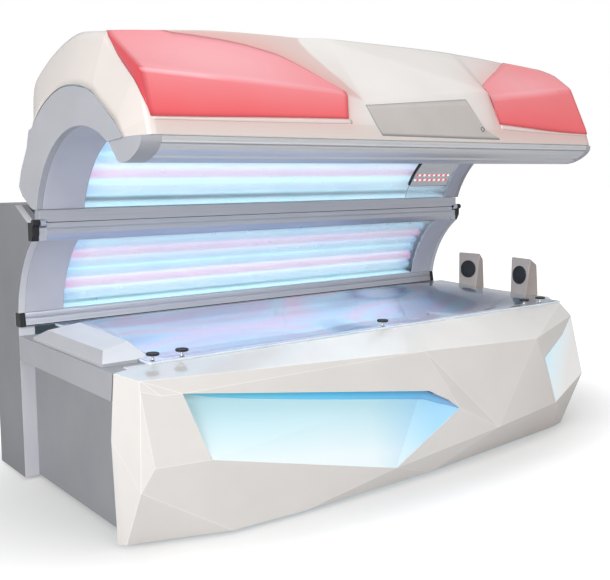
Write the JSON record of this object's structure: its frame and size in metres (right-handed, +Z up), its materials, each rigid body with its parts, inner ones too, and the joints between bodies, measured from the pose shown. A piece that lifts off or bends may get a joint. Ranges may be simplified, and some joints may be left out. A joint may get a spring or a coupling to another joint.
{
  "type": "tanning bed",
  "caption": "Clamshell tanning bed: facetted lamp base with a clear dished pane, hinged lamp canopy with tinted panels, and a rear column with a curved side lamp wall.",
  "frame": {"origin": "middle of the footprint on the floor", "axes": "+X along the bed towards the head end, -Y towards the user, +Z up"},
  "size_m": [2.38, 1.2, 1.6406],
  "materials": {
    "white_plastic": "warm off-white, satin gloss",
    "grey_plastic": "mid grey, satin",
    "grey_sheet": "mid grey powder coat",
    "pale_strip": "pale lilac grey, satin",
    "red_panel": "translucent red, lit from behind",
    "bezel": "light grey, satin",
    "light_panel": "translucent white, lit pale cyan",
    "blue_strip": "translucent blue light strip",
    "acrylic": "clear acrylic",
    "lamp_glass": "lit tube, pale cyan",
    "reflector": "bright rolled sheet",
    "aluminium": "satin anodised extrusion",
    "frame_steel": "grey painted channel",
    "ballast_case": "folded sheet",
    "foot_rubber": "black rubber",
    "black_plastic": "black, fine grain",
    "grille_black": "black perforated",
    "strut_black": "black paint",
    "rod_steel": "polished rod"
  },
  "bodies": {
    "bed": {"front_panel": "white_plastic", "head_end_cover": "white_plastic", "speaker_housing_front": "white_plastic", "speaker_housing_rear": "white_plastic", "foot_end_panel": "grey_plastic", "foot_end_cap": "grey_plastic", "column_end_foot": "grey_plastic", "column_end_head": "grey_plastic", "column_top_cover": "grey_sheet", "column_rear_panel": "grey_sheet", "side_end_strip_foot": "pale_strip", "side_end_strip_head": "pale_strip", "front_light_panel": "light_panel", "head_corner_light": "light_panel", "front_light_strip": "blue_strip", "bed_pane": "acrylic", "side_pane": "acrylic", "bed_lamps": "lamp_glass", "side_lamps": "lamp_glass", "bed_reflector": "reflector", "side_reflector": "reflector", "side_lower_rail": "aluminium", "side_upper_rail": "aluminium", "base_frame": "frame_steel", "ballast_box": "ballast_case", "levelling_foot_foot_front": "foot_rubber", "levelling_foot_foot_rear": "foot_rubber", "levelling_foot_head_front": "foot_rubber", "levelling_foot_head_rear": "foot_rubber", "lower_rail_cap_foot": "black_plastic", "lower_rail_cap_head": "black_plastic", "hinge_cap_foot": "black_plastic", "hinge_cap_head": "black_plastic", "mains_gland": "black_plastic", "fan_shroud": "black_plastic", "speaker_grille_front": "grille_black", "speaker_grille_rear": "grille_black", "strut_cylinder_foot": "strut_black", "strut_cylinder_head": "strut_black"},
    "canopy": {"canopy_cover": "white_plastic", "canopy_red_panel_foot": "red_panel", "canopy_red_panel_head": "red_panel", "canopy_bezel": "bezel", "canopy_end_foot": "grey_plastic", "canopy_end_head": "grey_plastic", "canopy_pane": "acrylic", "canopy_lamps": "lamp_glass", "canopy_reflector": "reflector", "face_light": "bezel", "canopy_rear_rail": "aluminium", "canopy_rear_cover": "grey_plastic", "canopy_front_rail": "aluminium"},
    "strut_rod_foot_body": {"strut_rod_foot": "rod_steel"},
    "strut_rod_head_body": {"strut_rod_head": "rod_steel"},
    "fan_rotor": {"fan_impeller": "black_plastic"},
    "lock_1": {"pane_lock_1": "black_plastic"},
    "lock_2": {"pane_lock_2": "black_plastic"},
    "lock_3": {"pane_lock_3": "black_plastic"},
    "lock_4": {"pane_lock_4": "black_plastic"},
    "lock_5": {"pane_lock_5": "black_plastic"}
  },
  "joints": [
    {"name": "canopy_hinge", "type": "hinge", "parent": "bed", "child": "canopy", "pos_m": [0, 0.172, 0.985], "axis": [1, 0, 0], "range_deg": [0, 40]},
    {"name": "strut_slide_foot", "type": "slide", "parent": "bed", "child": "strut_rod_foot_body", "axis": [0, -0.6247, 0.7809], "range_m": [0, 0.072]},
    {"name": "strut_slide_head", "type": "slide", "parent": "bed", "child": "strut_rod_head_body", "axis": [0, -0.6247, 0.7809], "range_m": [0, 0.072]},
    {"name": "lock_turn_1", "type": "hinge", "parent": "bed", "child": "lock_1", "pos_m": [-1.033, -0.388, 0.58], "axis": [0, 0, 1], "range_deg": [0, 90]},
    {"name": "lock_turn_2", "type": "hinge", "parent": "bed", "child": "lock_2", "pos_m": [-0.926, -0.388, 0.58], "axis": [0, 0, 1], "range_deg": [0, 90]},
    {"name": "lock_turn_3", "type": "hinge", "parent": "bed", "child": "lock_3", "pos_m": [-0.037, -0.388, 0.58], "axis": [0, 0, 1], "range_deg": [0, 90]},
    {"name": "lock_turn_4", "type": "hinge", "parent": "bed", "child": "lock_4", "pos_m": [0.823, -0.388, 0.58], "axis": [0, 0, 1], "range_deg": [0, 90]},
    {"name": "lock_turn_5", "type": "hinge", "parent": "bed", "child": "lock_5", "pos_m": [0.937, -0.388, 0.58], "axis": [0, 0, 1], "range_deg": [0, 90]},
    {"name": "fan_spin", "type": "hinge", "parent": "bed", "child": "fan_rotor", "pos_m": [-0.095, 0.565, 0.3], "axis": [0, 1, 0], "continuous": true}
  ],
  "couplings": [
    {"joint": "strut_slide_foot", "follows": "canopy_hinge", "m_per_rad": 0.1023},
    {"joint": "strut_slide_head", "follows": "canopy_hinge", "m_per_rad": 0.1023}
  ]
}
